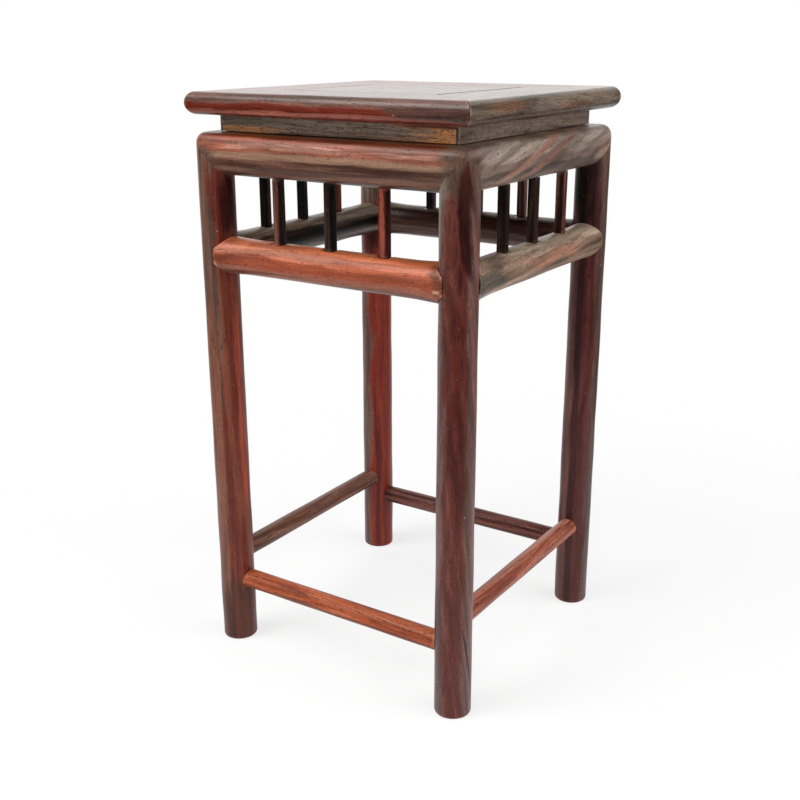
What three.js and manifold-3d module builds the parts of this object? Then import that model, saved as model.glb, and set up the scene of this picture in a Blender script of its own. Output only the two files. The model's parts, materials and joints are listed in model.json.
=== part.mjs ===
// A miniature square stand of dark rosewood, made in the manner of a tall waisted
// side table: a framed panel on a recessed waist, four round legs, a pierced gallery
// of little struts under the top, and four thin stretchers near the feet.
// Millimetres, Z up. The origin is on the ground in the middle of the four feet.
// The front faces -Y and the right-hand side faces +X.

import * as THREE from "three";
import { mergeVertices } from "three/addons/utils/BufferGeometryUtils.js";
import Module from "manifold-3d";

// Driving dimensions
const HEIGHT = 170;
const LEG_SPACING = 80;
const TOP_WIDTH = 91.5;
const TOP_THICKNESS = 6.2;
const FRAME_RAIL_WIDTH = 21.8;
const PANEL_THICKNESS = 3.8;
const WAIST_WIDTH = 77.4;
const WAIST_HEIGHT = 4.75;
const WAIST_THICKNESS = 2.4;
const LEG_RADIUS_TOP = 5.14;
const LEG_RADIUS_FOOT = 5.33;
const FOOT_ROUNDING = 0.8;
const UPPER_RAIL_HALF_HEIGHT = 5.84;
const APRON_RAIL_RADIUS = 5.05;
const APRON_RAIL_END_RADIUS = 5.45;
const APRON_RAIL_HEIGHT = 124.7;
const APRON_RAIL_HALF_LENGTH = 38.2;
const STRETCHER_RADIUS = 2.93;
const LOW_STRETCHER_HEIGHT = 21;
const HIGH_STRETCHER_HEIGHT = 28.4;
const STRUT_SIDE = 2.6;
// Distances of the struts from the middle of their side, seen from outside, left to
// right. They were set by eye, a little off an even spacing of 17.5.
const STRUT_PLACES = {
  front: [-17.5, 0, 17.5],
  right: [-17, 0.5, 18.5],
  back: [-16.5, -0.5, 17.5],
  left: [-17, 1, 19],
};

// How closely the joints are cut
const JOINT_GAP = 0.2;
const TENON_PLAY = 0.2;
const MORTISE_SPARE = 0.4;

// Places worked out from them
const LEG_CENTRE = LEG_SPACING / 2;
const TOP_HALF = TOP_WIDTH / 2;
const TOP_UNDERSIDE = HEIGHT - TOP_THICKNESS;
const OPENING_HALF = TOP_HALF - FRAME_RAIL_WIDTH;
const WAIST_HALF = WAIST_WIDTH / 2;
const WAIST_BASE = TOP_UNDERSIDE - WAIST_HEIGHT;
const UPPER_RAIL_HALF_WIDTH = LEG_RADIUS_TOP;
const UPPER_RAIL_HEIGHT = WAIST_BASE - UPPER_RAIL_HALF_HEIGHT;

// Facets of a full turn
const LEG_FACETS = 32;
const THIN_ROD_FACETS = 20;

const SIDES = ["front", "right", "back", "left"];
const CORNERS = ["front_right", "back_right", "back_left", "front_left"];
const FAR = 200;

const wasm = await Module();
wasm.setup();

// Solids

// A closed geometry as a solid that can be joined and cut.
function solid(geometry) {
  geometry.deleteAttribute("normal");
  geometry.deleteAttribute("uv");
  const merged = mergeVertices(geometry, 1e-4);
  const corners = merged.index.array;
  const faces = [];
  for (let i = 0; i < corners.length; i += 3) {
    const [a, b, c] = corners.slice(i, i + 3);
    if (a !== b && b !== c && c !== a) faces.push(a, b, c);
  }
  return new wasm.Manifold(
    new wasm.Mesh({
      numProp: 3,
      vertProperties: merged.attributes.position.array,
      triVerts: new Uint32Array(faces),
    }),
  );
}

// A straight block between two values along each axis.
function block([x0, x1], [y0, y1], [z0, z1]) {
  const box = new THREE.BoxGeometry(x1 - x0, y1 - y0, z1 - z0);
  return solid(box.translate((x0 + x1) / 2, (y0 + y1) / 2, (z0 + z1) / 2));
}

// An outline drawn in two directions and pushed along a third, from the given start.
function push(shape, [across, up, along], start, length, steps) {
  const bar = new THREE.ExtrudeGeometry(shape, {
    depth: length,
    bevelEnabled: false,
    curveSegments: steps ?? 8,
  });
  bar.applyMatrix4(new THREE.Matrix4().makeBasis(across, up, along));
  return solid(bar.translate(start.x, start.y, start.z));
}

const RIGHT = new THREE.Vector3(1, 0, 0);
const LEFT = new THREE.Vector3(-1, 0, 0);
const BACK = new THREE.Vector3(0, 1, 0);
const FRONT = new THREE.Vector3(0, -1, 0);
const UP = new THREE.Vector3(0, 0, 1);

// A bar of the front side, drawn as its section seen from the right-hand end:
// the outline's first value runs forward and its second runs up.
function frontBar(section, y, z, halfLength, steps) {
  const start = new THREE.Vector3(halfLength, y, z);
  return push(section, [FRONT, UP, LEFT], start, 2 * halfLength, steps);
}

// A wedge seen from the front, which runs right through from back to front.
function wedgeInElevation(points) {
  const shape = new THREE.Shape(points.map(([x, z]) => new THREE.Vector2(x, z)));
  return push(shape, [RIGHT, UP, FRONT], new THREE.Vector3(0, FAR, 0), 2 * FAR);
}

// A wedge seen from above, which runs right through from top to bottom.
function wedgeInPlan(points) {
  const shape = new THREE.Shape(points.map(([x, y]) => new THREE.Vector2(x, y)));
  return push(shape, [RIGHT, BACK, UP], new THREE.Vector3(0, 0, -FAR), 3 * FAR);
}

// The plan mitres at both ends of a rail on the front side, on the corners' diagonals,
// or moved outwards by the given amount.
function planMitres(shift = 0) {
  const reach = FRAME_RAIL_WIDTH;
  const end = LEG_CENTRE + shift - (JOINT_GAP / 2) * Math.SQRT2;
  return wedgeInPlan([
    [-end - reach, -LEG_CENTRE - reach],
    [end + reach, -LEG_CENTRE - reach],
    [end - reach, -LEG_CENTRE + reach],
    [-end + reach, -LEG_CENTRE + reach],
  ]);
}

// A round bar along the front side.
function frontRod(radius, z, halfLength, facets) {
  const rod = new THREE.CylinderGeometry(radius, radius, 2 * halfLength, facets);
  return solid(rod.rotateZ(Math.PI / 2).translate(0, -LEG_CENTRE, z));
}

// Evenly spread shares from 0 to 1.
function shares(steps) {
  return Array.from({ length: steps + 1 }, (_, i) => i / steps);
}

// The two mirrored copies of a cut made at the right-hand end of a front piece.
function bothEnds(tool) {
  return tool.add(tool.mirror([1, 0, 0]));
}

// Legs

const MITRE_SLOPE = UPPER_RAIL_HALF_HEIGHT / UPPER_RAIL_HALF_WIDTH;
const FOOT_STEPS = 3;

// The rounding that runs along the outer top edge of the upper rails, turns the
// corners of the stand with them, and caps the leg heads: how far it reaches in and
// down, and its points from the side up to the top, measured from the rail's middle.
const SHOULDER = { width: 3, height: 3.2, steps: 5 };

function shoulder() {
  return shares(SHOULDER.steps).map((share) => {
    const turn = (share * Math.PI) / 2;
    const out = UPPER_RAIL_HALF_WIDTH - SHOULDER.width * (1 - Math.cos(turn));
    const up = UPPER_RAIL_HALF_HEIGHT - SHOULDER.height * (1 - Math.sin(turn));
    return new THREE.Vector2(out, up);
  });
}

// The round stem at one corner, at its own size or grown a little to cut a cope. Its
// head is rounded over like the upper rails.
function stem(growth) {
  const foot = shares(FOOT_STEPS).map((share) => {
    const turn = (share * Math.PI) / 2;
    const radius = LEG_RADIUS_FOOT - FOOT_ROUNDING * (1 - Math.sin(turn));
    return new THREE.Vector2(radius, FOOT_ROUNDING * (1 - Math.cos(turn)));
  });
  const head = shoulder().map(({ x, y }) => new THREE.Vector2(x, UPPER_RAIL_HEIGHT + y));
  const side = [...foot, new THREE.Vector2(LEG_RADIUS_TOP, UPPER_RAIL_HEIGHT), ...head];
  for (const point of side) point.x += growth;
  const profile = [new THREE.Vector2(0, 0), ...side, new THREE.Vector2(0, WAIST_BASE)];
  const turned = new THREE.LatheGeometry(profile, LEG_FACETS);
  return solid(turned.rotateX(Math.PI / 2)).translate([LEG_CENTRE, -LEG_CENTRE, 0]);
}

// The leg head is mitred twice, once to each upper rail, so that leg and both rails
// meet at one point on the corner. Each mitre runs from the inner underside of the
// rail to its outer top.
function headMitre() {
  const reach = 3 * UPPER_RAIL_HALF_WIDTH;
  const drop = (JOINT_GAP / 2) * Math.SQRT2;
  const z = UPPER_RAIL_HEIGHT - drop;
  return wedgeInElevation([
    [LEG_CENTRE - reach, z - reach * MITRE_SLOPE],
    [LEG_CENTRE - reach, -1],
    [LEG_CENTRE + reach, -1],
    [LEG_CENTRE + reach, z + reach * MITRE_SLOPE],
  ]);
}

// Swaps the two sides of a corner piece: the mirror plane is the corner's diagonal.
function otherFace(tool) {
  return tool.mirror([1, 1, 0]);
}

// Tenons of the leg head, standing in the thick of the two upper rails.
const HEAD_TENON = { near: 1.5, far: 4, halfThickness: 1.1, rise: 2.6 };

function headTenon(play) {
  const t = HEAD_TENON;
  return block(
    [LEG_CENTRE - t.far - play, LEG_CENTRE - t.near + play],
    [-LEG_CENTRE - t.halfThickness - play, -LEG_CENTRE + t.halfThickness + play],
    [UPPER_RAIL_HEIGHT - 2 * t.far, UPPER_RAIL_HEIGHT + t.rise + 2 * play],
  );
}

// Flat tenons of the apron rails. The front and back ones run past the middle of the
// leg, and the side ones stop short of them.
const APRON_TENON = { halfThickness: 1.2, halfHeight: 2.5, longReach: 1.6, shortReach: -1.6 };

function apronTenon(isLong, play, spare) {
  const t = APRON_TENON;
  const reach = isLong ? t.longReach : t.shortReach;
  return block(
    [LEG_CENTRE - 2 * LEG_RADIUS_TOP, LEG_CENTRE + reach + spare],
    [-LEG_CENTRE - t.halfThickness - play, -LEG_CENTRE + t.halfThickness + play],
    [
      APRON_RAIL_HEIGHT - t.halfHeight - play,
      APRON_RAIL_HEIGHT + t.halfHeight + play,
    ],
  );
}

// Round pins on the ends of the stretchers. The two pairs of stretchers are at
// different heights, so that their pins pass one above the other inside the leg.
const STRETCHER_PIN = { radius: 1.6, reach: 2.4, facets: 12 };

function stretcherHeight(isLong) {
  return isLong ? LOW_STRETCHER_HEIGHT : HIGH_STRETCHER_HEIGHT;
}

function stretcherPin(isLong, play, spare) {
  const start = LEG_CENTRE - 2 * LEG_RADIUS_FOOT;
  const end = LEG_CENTRE + STRETCHER_PIN.reach + spare;
  const radius = STRETCHER_PIN.radius + play;
  const pin = new THREE.CylinderGeometry(radius, radius, end - start, STRETCHER_PIN.facets);
  pin.rotateZ(Math.PI / 2);
  return solid(pin.translate((start + end) / 2, -LEG_CENTRE, stretcherHeight(isLong)));
}

// The leg at the front right corner. Rails come to it from its left and from behind.
function leg(isLongOnItsLeft) {
  const mitre = headMitre();
  let post = stem(0).intersect(mitre).intersect(otherFace(mitre));
  post = post.add(headTenon(0)).add(otherFace(headTenon(0)));
  const fromLeft = isLongOnItsLeft;
  const fromBehind = !isLongOnItsLeft;
  return post
    .subtract(apronTenon(fromLeft, TENON_PLAY, MORTISE_SPARE))
    .subtract(otherFace(apronTenon(fromBehind, TENON_PLAY, MORTISE_SPARE)))
    .subtract(stretcherPin(fromLeft, TENON_PLAY, MORTISE_SPARE))
    .subtract(otherFace(stretcherPin(fromBehind, TENON_PLAY, MORTISE_SPARE)));
}

// Waist

const WAIST_TONGUE = { thickness: 1, height: 1.2 };
// The side strips run a little past the mitre line, so that a sliver of their ends
// shows on the front and back faces.
const WAIST_END_RETURN = 0.7;

function waistTongue(play) {
  const middle = -WAIST_HALF + WAIST_THICKNESS / 2;
  const half = WAIST_TONGUE.thickness / 2 + play;
  return block(
    [-WAIST_HALF, WAIST_HALF],
    [middle - half, middle + half],
    [
      WAIST_BASE - WAIST_TONGUE.height - 2 * play,
      TOP_UNDERSIDE + WAIST_TONGUE.height + 2 * play,
    ],
  );
}

function waistStrip(isLong) {
  const seat = JOINT_GAP / 2;
  const strip = block(
    [-WAIST_HALF, WAIST_HALF],
    [-WAIST_HALF, -WAIST_HALF + WAIST_THICKNESS],
    [WAIST_BASE + seat, TOP_UNDERSIDE - seat],
  );
  const shift = isLong ? -WAIST_END_RETURN : WAIST_END_RETURN;
  const tongue = waistTongue(0).intersect(planMitres(Math.min(shift, 0)));
  return strip.intersect(planMitres(shift)).add(tongue);
}

// Upper rails

// Oval below, with a rounded outer top edge. The inside is square, and the top is a
// flat shelf, where the waist stands.
const SEAT_INSIDE = 4.2;
const UPPER_RAIL_OVAL_STEPS = 16;

function upperRailSection() {
  const a = UPPER_RAIL_HALF_WIDTH;
  const b = UPPER_RAIL_HALF_HEIGHT;
  const meet = Math.acos(SEAT_INSIDE / a);
  const section = new THREE.Shape();
  section.moveTo(-SEAT_INSIDE, b);
  section.lineTo(-SEAT_INSIDE, -b * Math.sin(meet));
  section.absellipse(0, 0, a, b, Math.PI + meet, 2 * Math.PI, false);
  for (const { x, y } of shoulder()) section.lineTo(x, y);
  section.closePath();
  return section;
}

// The upper rails' mitres down to the legs, seen from the front.
function headMitres() {
  const reach = 3 * UPPER_RAIL_HALF_WIDTH;
  const z = UPPER_RAIL_HEIGHT + (JOINT_GAP / 2) * Math.SQRT2;
  return wedgeInElevation([
    [-LEG_CENTRE + reach, z - reach * MITRE_SLOPE],
    [LEG_CENTRE - reach, z - reach * MITRE_SLOPE],
    [LEG_CENTRE + reach, z + reach * MITRE_SLOPE],
    [-LEG_CENTRE - reach, z + reach * MITRE_SLOPE],
  ]);
}

// The rails turn the corners of the stand: past the legs' middles they are rounded in
// plan, about the same centres as the legs.
function turnedCorners() {
  const straight = block([-LEG_CENTRE, LEG_CENTRE], [-FAR, FAR], [0, HEIGHT]);
  return straight.add(bothEnds(stem(0)));
}

// A small tenon high in the corner, which ties the front and back rails to the sides.
const CORNER_TENON = { inside: 1.2, outside: 0.8, low: 3, high: 4.3, reach: 2.6 };

function cornerTenon(play) {
  const t = CORNER_TENON;
  return block(
    [LEG_CENTRE - 2 * t.reach, LEG_CENTRE + t.reach + 2 * play],
    [-LEG_CENTRE - t.outside - play, -LEG_CENTRE + t.inside + play],
    [UPPER_RAIL_HEIGHT + t.low - play, UPPER_RAIL_HEIGHT + t.high + play],
  );
}

// Struts

const STRUT_TENON = { side: 1.3, length: 2 };
const STRUT_CHAMFER = 0.35;

// Each strut stands on a small flat, cut across the top of the apron rail.
const STRUT_SEAT = { depth: 0.5, halfWidth: 1.7, halfMouth: 2.9 };

const APRON_RAIL_TOP = APRON_RAIL_HEIGHT + APRON_RAIL_RADIUS;
const STRUT_BOTTOM = APRON_RAIL_TOP - STRUT_SEAT.depth;
const STRUT_TOP = UPPER_RAIL_HEIGHT - UPPER_RAIL_HALF_HEIGHT;

function strutSeat(x) {
  const s = STRUT_SEAT;
  return wedgeInElevation([
    [x - s.halfWidth, STRUT_BOTTOM],
    [x + s.halfWidth, STRUT_BOTTOM],
    [x + s.halfMouth, APRON_RAIL_TOP],
    [x - s.halfMouth, APRON_RAIL_TOP],
  ]);
}

// The pin that runs out of both ends of a strut.
function strutTenon(x, play) {
  const half = STRUT_TENON.side / 2 + play;
  return block(
    [x - half, x + half],
    [-LEG_CENTRE - half, -LEG_CENTRE + half],
    [
      STRUT_BOTTOM - STRUT_TENON.length - 2 * play,
      STRUT_TOP + STRUT_TENON.length + 2 * play,
    ],
  );
}

// A square strut with its four edges eased. The foot is flat, and the head is hollowed
// to the underside of the upper rail.
function strut(x) {
  const half = STRUT_SIDE / 2;
  const eased = half - STRUT_CHAMFER;
  const outline = [
    [half, -eased], [half, eased], [eased, half], [-eased, half],
    [-half, eased], [-half, -eased], [-eased, -half], [eased, -half],
  ];
  const shape = new THREE.Shape(outline.map(([a, b]) => new THREE.Vector2(a, b)));
  const foot = new THREE.Vector3(x, -LEG_CENTRE, STRUT_BOTTOM + JOINT_GAP);
  const length = UPPER_RAIL_HEIGHT - foot.z;
  return push(shape, [RIGHT, BACK, UP], foot, length)
    .subtract(upperRailBar(JOINT_GAP))
    .add(strutTenon(x, 0));
}

// The upper rail before its ends are cut, at its own size or grown to cut a strut.
function upperRailBar(growth) {
  const middle = UPPER_RAIL_HEIGHT;
  const section = upperRailSection();
  const bar = frontBar(section, -LEG_CENTRE, middle, TOP_HALF, UPPER_RAIL_OVAL_STEPS);
  if (growth === 0) return bar;
  const larger = 1 + growth / UPPER_RAIL_HALF_HEIGHT;
  return bar
    .translate([0, LEG_CENTRE, -middle])
    .scale([1, larger, larger])
    .translate([0, -LEG_CENTRE, middle]);
}

function upperRail(isLong, struts) {
  let rail = upperRailBar(0).intersect(turnedCorners());
  rail = rail.intersect(planMitres()).intersect(headMitres());
  if (isLong) rail = rail.add(bothEnds(cornerTenon(0)));
  else rail = rail.subtract(bothEnds(otherFace(cornerTenon(TENON_PLAY))));
  rail = rail
    .subtract(bothEnds(headTenon(TENON_PLAY)))
    .subtract(waistTongue(TENON_PLAY));
  for (const x of struts) rail = rail.subtract(strutTenon(x, TENON_PLAY));
  return rail;
}

// Apron rails

// Round rails as thick as the legs, which swell towards their ends. The ends are
// hollowed to wrap half round the legs, and their lips are cut blunt. On the inside of
// each corner, where two rails touch, they are mitred together.
const APRON_SWELLING = { length: 12, steps: 5 };

function apronBar() {
  const swollen = shares(APRON_SWELLING.steps).map((share) => {
    const rise = (1 - Math.cos(share * Math.PI)) / 2;
    const radius = APRON_RAIL_RADIUS + (APRON_RAIL_END_RADIUS - APRON_RAIL_RADIUS) * rise;
    const along = APRON_RAIL_HALF_LENGTH - APRON_SWELLING.length * (1 - share);
    return new THREE.Vector2(radius, along);
  });
  const mirrored = swollen.map(({ x, y }) => new THREE.Vector2(x, -y)).reverse();
  const profile = [
    new THREE.Vector2(0, -APRON_RAIL_HALF_LENGTH),
    ...mirrored,
    ...swollen,
    new THREE.Vector2(0, APRON_RAIL_HALF_LENGTH),
  ];
  const turned = new THREE.LatheGeometry(profile, LEG_FACETS);
  return solid(turned.rotateZ(-Math.PI / 2).translate(0, -LEG_CENTRE, APRON_RAIL_HEIGHT));
}

function apronRail(isLong, struts) {
  let rail = apronBar().intersect(planMitres()).subtract(bothEnds(stem(JOINT_GAP)));
  rail = rail.add(bothEnds(apronTenon(isLong, 0, 0)));
  for (const x of struts) rail = rail.subtract(strutSeat(x)).subtract(strutTenon(x, TENON_PLAY));
  return rail;
}

// Stretchers

function stretcher(isLong) {
  const rod = frontRod(STRETCHER_RADIUS, stretcherHeight(isLong), LEG_CENTRE, THIN_ROD_FACETS);
  return rod
    .subtract(bothEnds(stem(JOINT_GAP)))
    .add(bothEnds(stretcherPin(isLong, 0, 0)));
}

// Top

// The edge of the top is rounded over above and drawn in below.
const EDGE = { topDepth: 2.3, underDepth: 2.8, steps: 7 };
const PANEL_TONGUE = { reach: 2.2, below: 0.5, thickness: 1.5 };
const PANEL_BASE = HEIGHT - PANEL_THICKNESS;
const PANEL_SHRINKAGE = 0.15;

function frameSection() {
  const half = TOP_THICKNESS / 2;
  const section = new THREE.Shape();
  section.moveTo(0, half);
  section.lineTo(0, -half);
  const wide = FRAME_RAIL_WIDTH;
  section.lineTo(wide - EDGE.underDepth, -half);
  section.absellipse(wide - EDGE.underDepth, 0, EDGE.underDepth, half, 1.5 * Math.PI, 2 * Math.PI, false);
  section.absellipse(wide - EDGE.topDepth, 0, EDGE.topDepth, half, 0, 0.5 * Math.PI, false);
  section.closePath();
  return section;
}

// The tongue round the panel, which floats in a groove of the frame.
function panelTongue(play) {
  const half = OPENING_HALF + PANEL_TONGUE.reach + 2 * play;
  const base = PANEL_BASE + PANEL_TONGUE.below;
  return block([-half, half], [-half, half], [base - play, base + PANEL_TONGUE.thickness + play]);
}

// Mortise and tenon hidden in each mitred corner of the top frame.
const FRAME_TENON = { inner: 29, outer: 38, end: 41, halfThickness: 1, drop: 0.2 };

function frameTenon(play, spare) {
  const t = FRAME_TENON;
  const middle = HEIGHT - TOP_THICKNESS / 2 - t.drop;
  return block(
    [t.inner - play, t.end + spare],
    [-t.outer - play, -t.inner + play],
    [middle - t.halfThickness - play, middle + t.halfThickness + play],
  );
}

// The batten under the panel: dovetailed into the panel, stub tenoned into the frame.
const BATTEN = { halfWidth: 3.2, keyHalfWidth: 2.6, keyDepth: 0.9, lift: 0.6 };
const BATTEN_TENON = { reach: 2.4, shoulder: 0.6 };

function batten(play) {
  const low = TOP_UNDERSIDE + BATTEN.lift - play;
  const reach = OPENING_HALF + BATTEN_TENON.reach + 2 * play;
  const wide = BATTEN.halfWidth + play;
  const neck = BATTEN.keyHalfWidth - BATTEN.keyDepth / 2 + play;
  const key = BATTEN.keyHalfWidth + play;
  const outline = [
    [-wide, low], [wide, low], [wide, PANEL_BASE - JOINT_GAP + play],
    [neck, PANEL_BASE - JOINT_GAP + play], [key, PANEL_BASE + BATTEN.keyDepth + play],
    [-key, PANEL_BASE + BATTEN.keyDepth + play], [-neck, PANEL_BASE - JOINT_GAP + play],
    [-wide, PANEL_BASE - JOINT_GAP + play],
  ];
  const shape = new THREE.Shape(outline.map(([y, z]) => new THREE.Vector2(y, z)));
  return frontBar(shape, 0, 0, reach);
}

// What is left of the batten beyond the opening is a plain stub tenon.
function battenTenonBlock(play) {
  const reach = OPENING_HALF + BATTEN_TENON.reach + 2 * play;
  const half = BATTEN.keyHalfWidth - BATTEN.keyDepth / 2 + play;
  return block(
    [-reach, reach],
    [-half, half],
    [
      TOP_UNDERSIDE + BATTEN.lift + BATTEN_TENON.shoulder - play,
      PANEL_BASE - JOINT_GAP + play,
    ],
  );
}

function panelBatten() {
  const inside = OPENING_HALF - JOINT_GAP;
  const body = batten(0).intersect(block([-inside, inside], [-FAR, FAR], [0, HEIGHT]));
  return body.add(battenTenonBlock(0));
}

function topPanel() {
  const half = OPENING_HALF - PANEL_SHRINKAGE;
  const board = block([-half, half], [-half, half], [PANEL_BASE, HEIGHT]);
  return board.add(panelTongue(0)).subtract(batten(TENON_PLAY));
}

function frameRail(isLong) {
  const middle = HEIGHT - TOP_THICKNESS / 2;
  const bar = frontBar(frameSection(), -OPENING_HALF, middle, TOP_HALF, EDGE.steps);
  let rail = bar.intersect(planMitres());
  if (isLong) rail = rail.add(bothEnds(frameTenon(0, 0)));
  else rail = rail.subtract(bothEnds(otherFace(frameTenon(TENON_PLAY, MORTISE_SPARE))));
  if (!isLong) rail = rail.subtract(battenTenonBlock(TENON_PLAY).rotate([0, 0, 90]));
  return rail.subtract(panelTongue(TENON_PLAY)).subtract(waistTongue(TENON_PLAY));
}

// Wood

const WOOD = {
  plum: { color: 0x5a2a24, roughness: 0.42 },
  russet: { color: 0x8a3a24, roughness: 0.4 },
  umber: { color: 0x4a2c22, roughness: 0.42 },
  olive: { color: 0x5c4a3e, roughness: 0.5 },
  ochre: { color: 0x6a5034, roughness: 0.6 },
};

function wood(tone) {
  return new THREE.MeshStandardMaterial({ ...WOOD[tone], metalness: 0 });
}

// Assembly

function piece(name, shape, tone) {
  const cut = shape.getMesh();
  const geometry = new THREE.BufferGeometry();
  geometry.setAttribute("position", new THREE.BufferAttribute(cut.vertProperties, 3));
  geometry.setIndex(new THREE.BufferAttribute(cut.triVerts, 1));
  geometry.computeVertexNormals();
  const mesh = new THREE.Mesh(geometry, wood(tone));
  mesh.name = name;
  return mesh;
}

const stand = new THREE.Group();
stand.name = "square_stand";

const LEG_TONES = ["umber", "umber", "plum", "plum"];
const TOP_TONES = ["plum", "olive", "plum", "olive"];
const WAIST_TONES = ["ochre", "olive", "ochre", "olive"];
const UPPER_RAIL_TONES = ["plum", "olive", "umber", "umber"];
const APRON_RAIL_TONES = ["russet", "olive", "umber", "umber"];
const STRETCHER_TONES = ["russet", "russet", "umber", "umber"];
const STRUT_TONES = ["umber", "olive", "russet"];

// Everything is drawn on the front side or at the front right corner, and turned
// about the middle of the stand to each of the four sides.
SIDES.forEach((side, quarter) => {
  const isLong = quarter % 2 === 0;
  const turned = new THREE.Group();
  turned.rotation.z = quarter * (Math.PI / 2);
  turned.add(piece(`leg_${CORNERS[quarter]}`, leg(isLong), LEG_TONES[quarter]));
  turned.add(piece(`stretcher_${side}`, stretcher(isLong), STRETCHER_TONES[quarter]));
  const struts = STRUT_PLACES[side];
  turned.add(piece(`apron_rail_${side}`, apronRail(isLong, struts), APRON_RAIL_TONES[quarter]));
  struts.forEach((x, i) => {
    turned.add(piece(`strut_${side}_${i + 1}`, strut(x), STRUT_TONES[i]));
  });
  turned.add(piece(`upper_rail_${side}`, upperRail(isLong, struts), UPPER_RAIL_TONES[quarter]));
  turned.add(piece(`waist_${side}`, waistStrip(isLong), WAIST_TONES[quarter]));
  turned.add(piece(`top_frame_${side}`, frameRail(isLong), TOP_TONES[quarter]));
  stand.add(turned);
});
stand.add(piece("panel_batten", panelBatten(), "umber"));
stand.add(piece("top_panel", topPanel(), "plum"));

export default stand;
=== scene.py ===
import json
import math
import random

import bmesh
import bpy
import numpy as np
from mathutils import Matrix, Vector


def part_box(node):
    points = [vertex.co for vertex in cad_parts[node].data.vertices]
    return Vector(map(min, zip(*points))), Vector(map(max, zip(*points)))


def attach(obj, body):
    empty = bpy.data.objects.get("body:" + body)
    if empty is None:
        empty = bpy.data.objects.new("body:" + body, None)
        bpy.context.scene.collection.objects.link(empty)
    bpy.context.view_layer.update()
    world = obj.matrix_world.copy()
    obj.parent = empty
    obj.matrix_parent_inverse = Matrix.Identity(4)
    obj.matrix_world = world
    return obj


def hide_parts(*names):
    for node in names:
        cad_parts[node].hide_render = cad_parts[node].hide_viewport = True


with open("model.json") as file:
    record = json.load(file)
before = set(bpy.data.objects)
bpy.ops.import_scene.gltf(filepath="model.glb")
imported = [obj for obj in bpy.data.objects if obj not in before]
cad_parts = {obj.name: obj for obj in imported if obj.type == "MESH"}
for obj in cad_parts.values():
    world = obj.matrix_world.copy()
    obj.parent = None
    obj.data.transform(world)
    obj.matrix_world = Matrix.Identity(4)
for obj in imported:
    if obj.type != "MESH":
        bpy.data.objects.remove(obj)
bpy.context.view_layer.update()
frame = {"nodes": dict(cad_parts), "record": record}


# Legs
# Four round posts of dark rosewood, a little thicker at the foot. Each was planed round by
# hand and waxed. The head is mitred to both upper rails, and rounded over like them.

MM = 0.001
SIDES = ["front", "right", "back", "left"]
CORNERS = ["front_right", "back_right", "back_left", "front_left"]
slot_of = {part["node"]: part["material_slot"] for part in frame["record"]["subparts"]}


def cad_corners(node_name):
    """The lowest and highest corners of a CAD node in millimetres."""
    low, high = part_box(node_name)
    return low / MM, high / MM


leg_low, leg_high = cad_corners("leg_front_right")
rail_low, rail_high = cad_corners("upper_rail_front")
leg_centre = (leg_low.x + leg_high.x) / 2
leg_foot_radius = (leg_high.x - leg_low.x) / 2
rail_middle = (rail_low.z + rail_high.z) / 2
rail_half_height = (rail_high.z - rail_low.z) / 2
rail_half_width = -rail_low.y - leg_centre
mitre_slope = rail_half_height / rail_half_width
shoulder_width = 3.0
shoulder_height = 3.2
joint_gap = 0.05
mitre_gap = 0.01


def easing(arris, reach, rings):
    """How a cut end is eased: pairs of how far along the bar, and how far in from its side."""
    return [(0, arris), (arris, 0)] + [(advance, 0) for advance in np.linspace(2 * arris, reach, rings)]


ARRIS = easing(arris=0.12, reach=1.0, rings=3)
LEG_HEAD = easing(arris=0.03, reach=4.5, rings=12)
foot_rounding = 0.8
foot_rings = 6
LEG_FOOT = []
for foot_turn in np.linspace(0, math.pi / 2, foot_rings):
    LEG_FOOT.append((foot_rounding * (1 - math.cos(foot_turn)), foot_rounding * (1 - math.sin(foot_turn))))
LEG_FOOT.append((2 * foot_rounding, 0))


def leg_radius(height):
    """The leg's radius at a height above the ground."""
    return leg_foot_radius + (rail_half_width - leg_foot_radius) * height / rail_middle


def round_section(radius, facets):
    """A circle as (out, up) points."""
    turn = np.arange(facets) * 2 * math.pi / facets
    return radius * np.stack([np.cos(turn), np.sin(turn)], 1)


def hand_planed(depth, seed):
    """How far a hand-planed bar stands off its true shape, by place along it and round it."""
    draw = random.Random(seed)
    shortest, longest = 14, 60
    lobes_round_bar = (0, 1, 2, 2, 3, 5)
    waves = []
    for lobes in lobes_round_bar:
        waves.append((draw.uniform(shortest, longest), lobes, draw.uniform(0, 2 * math.pi)))

    def stand_off(along, around):
        total = 0
        for length, lobes, start in waves:
            total = total + np.sin(2 * math.pi * along / length + lobes * around + start)
        return depth * total / len(waves)

    return stand_off


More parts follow.
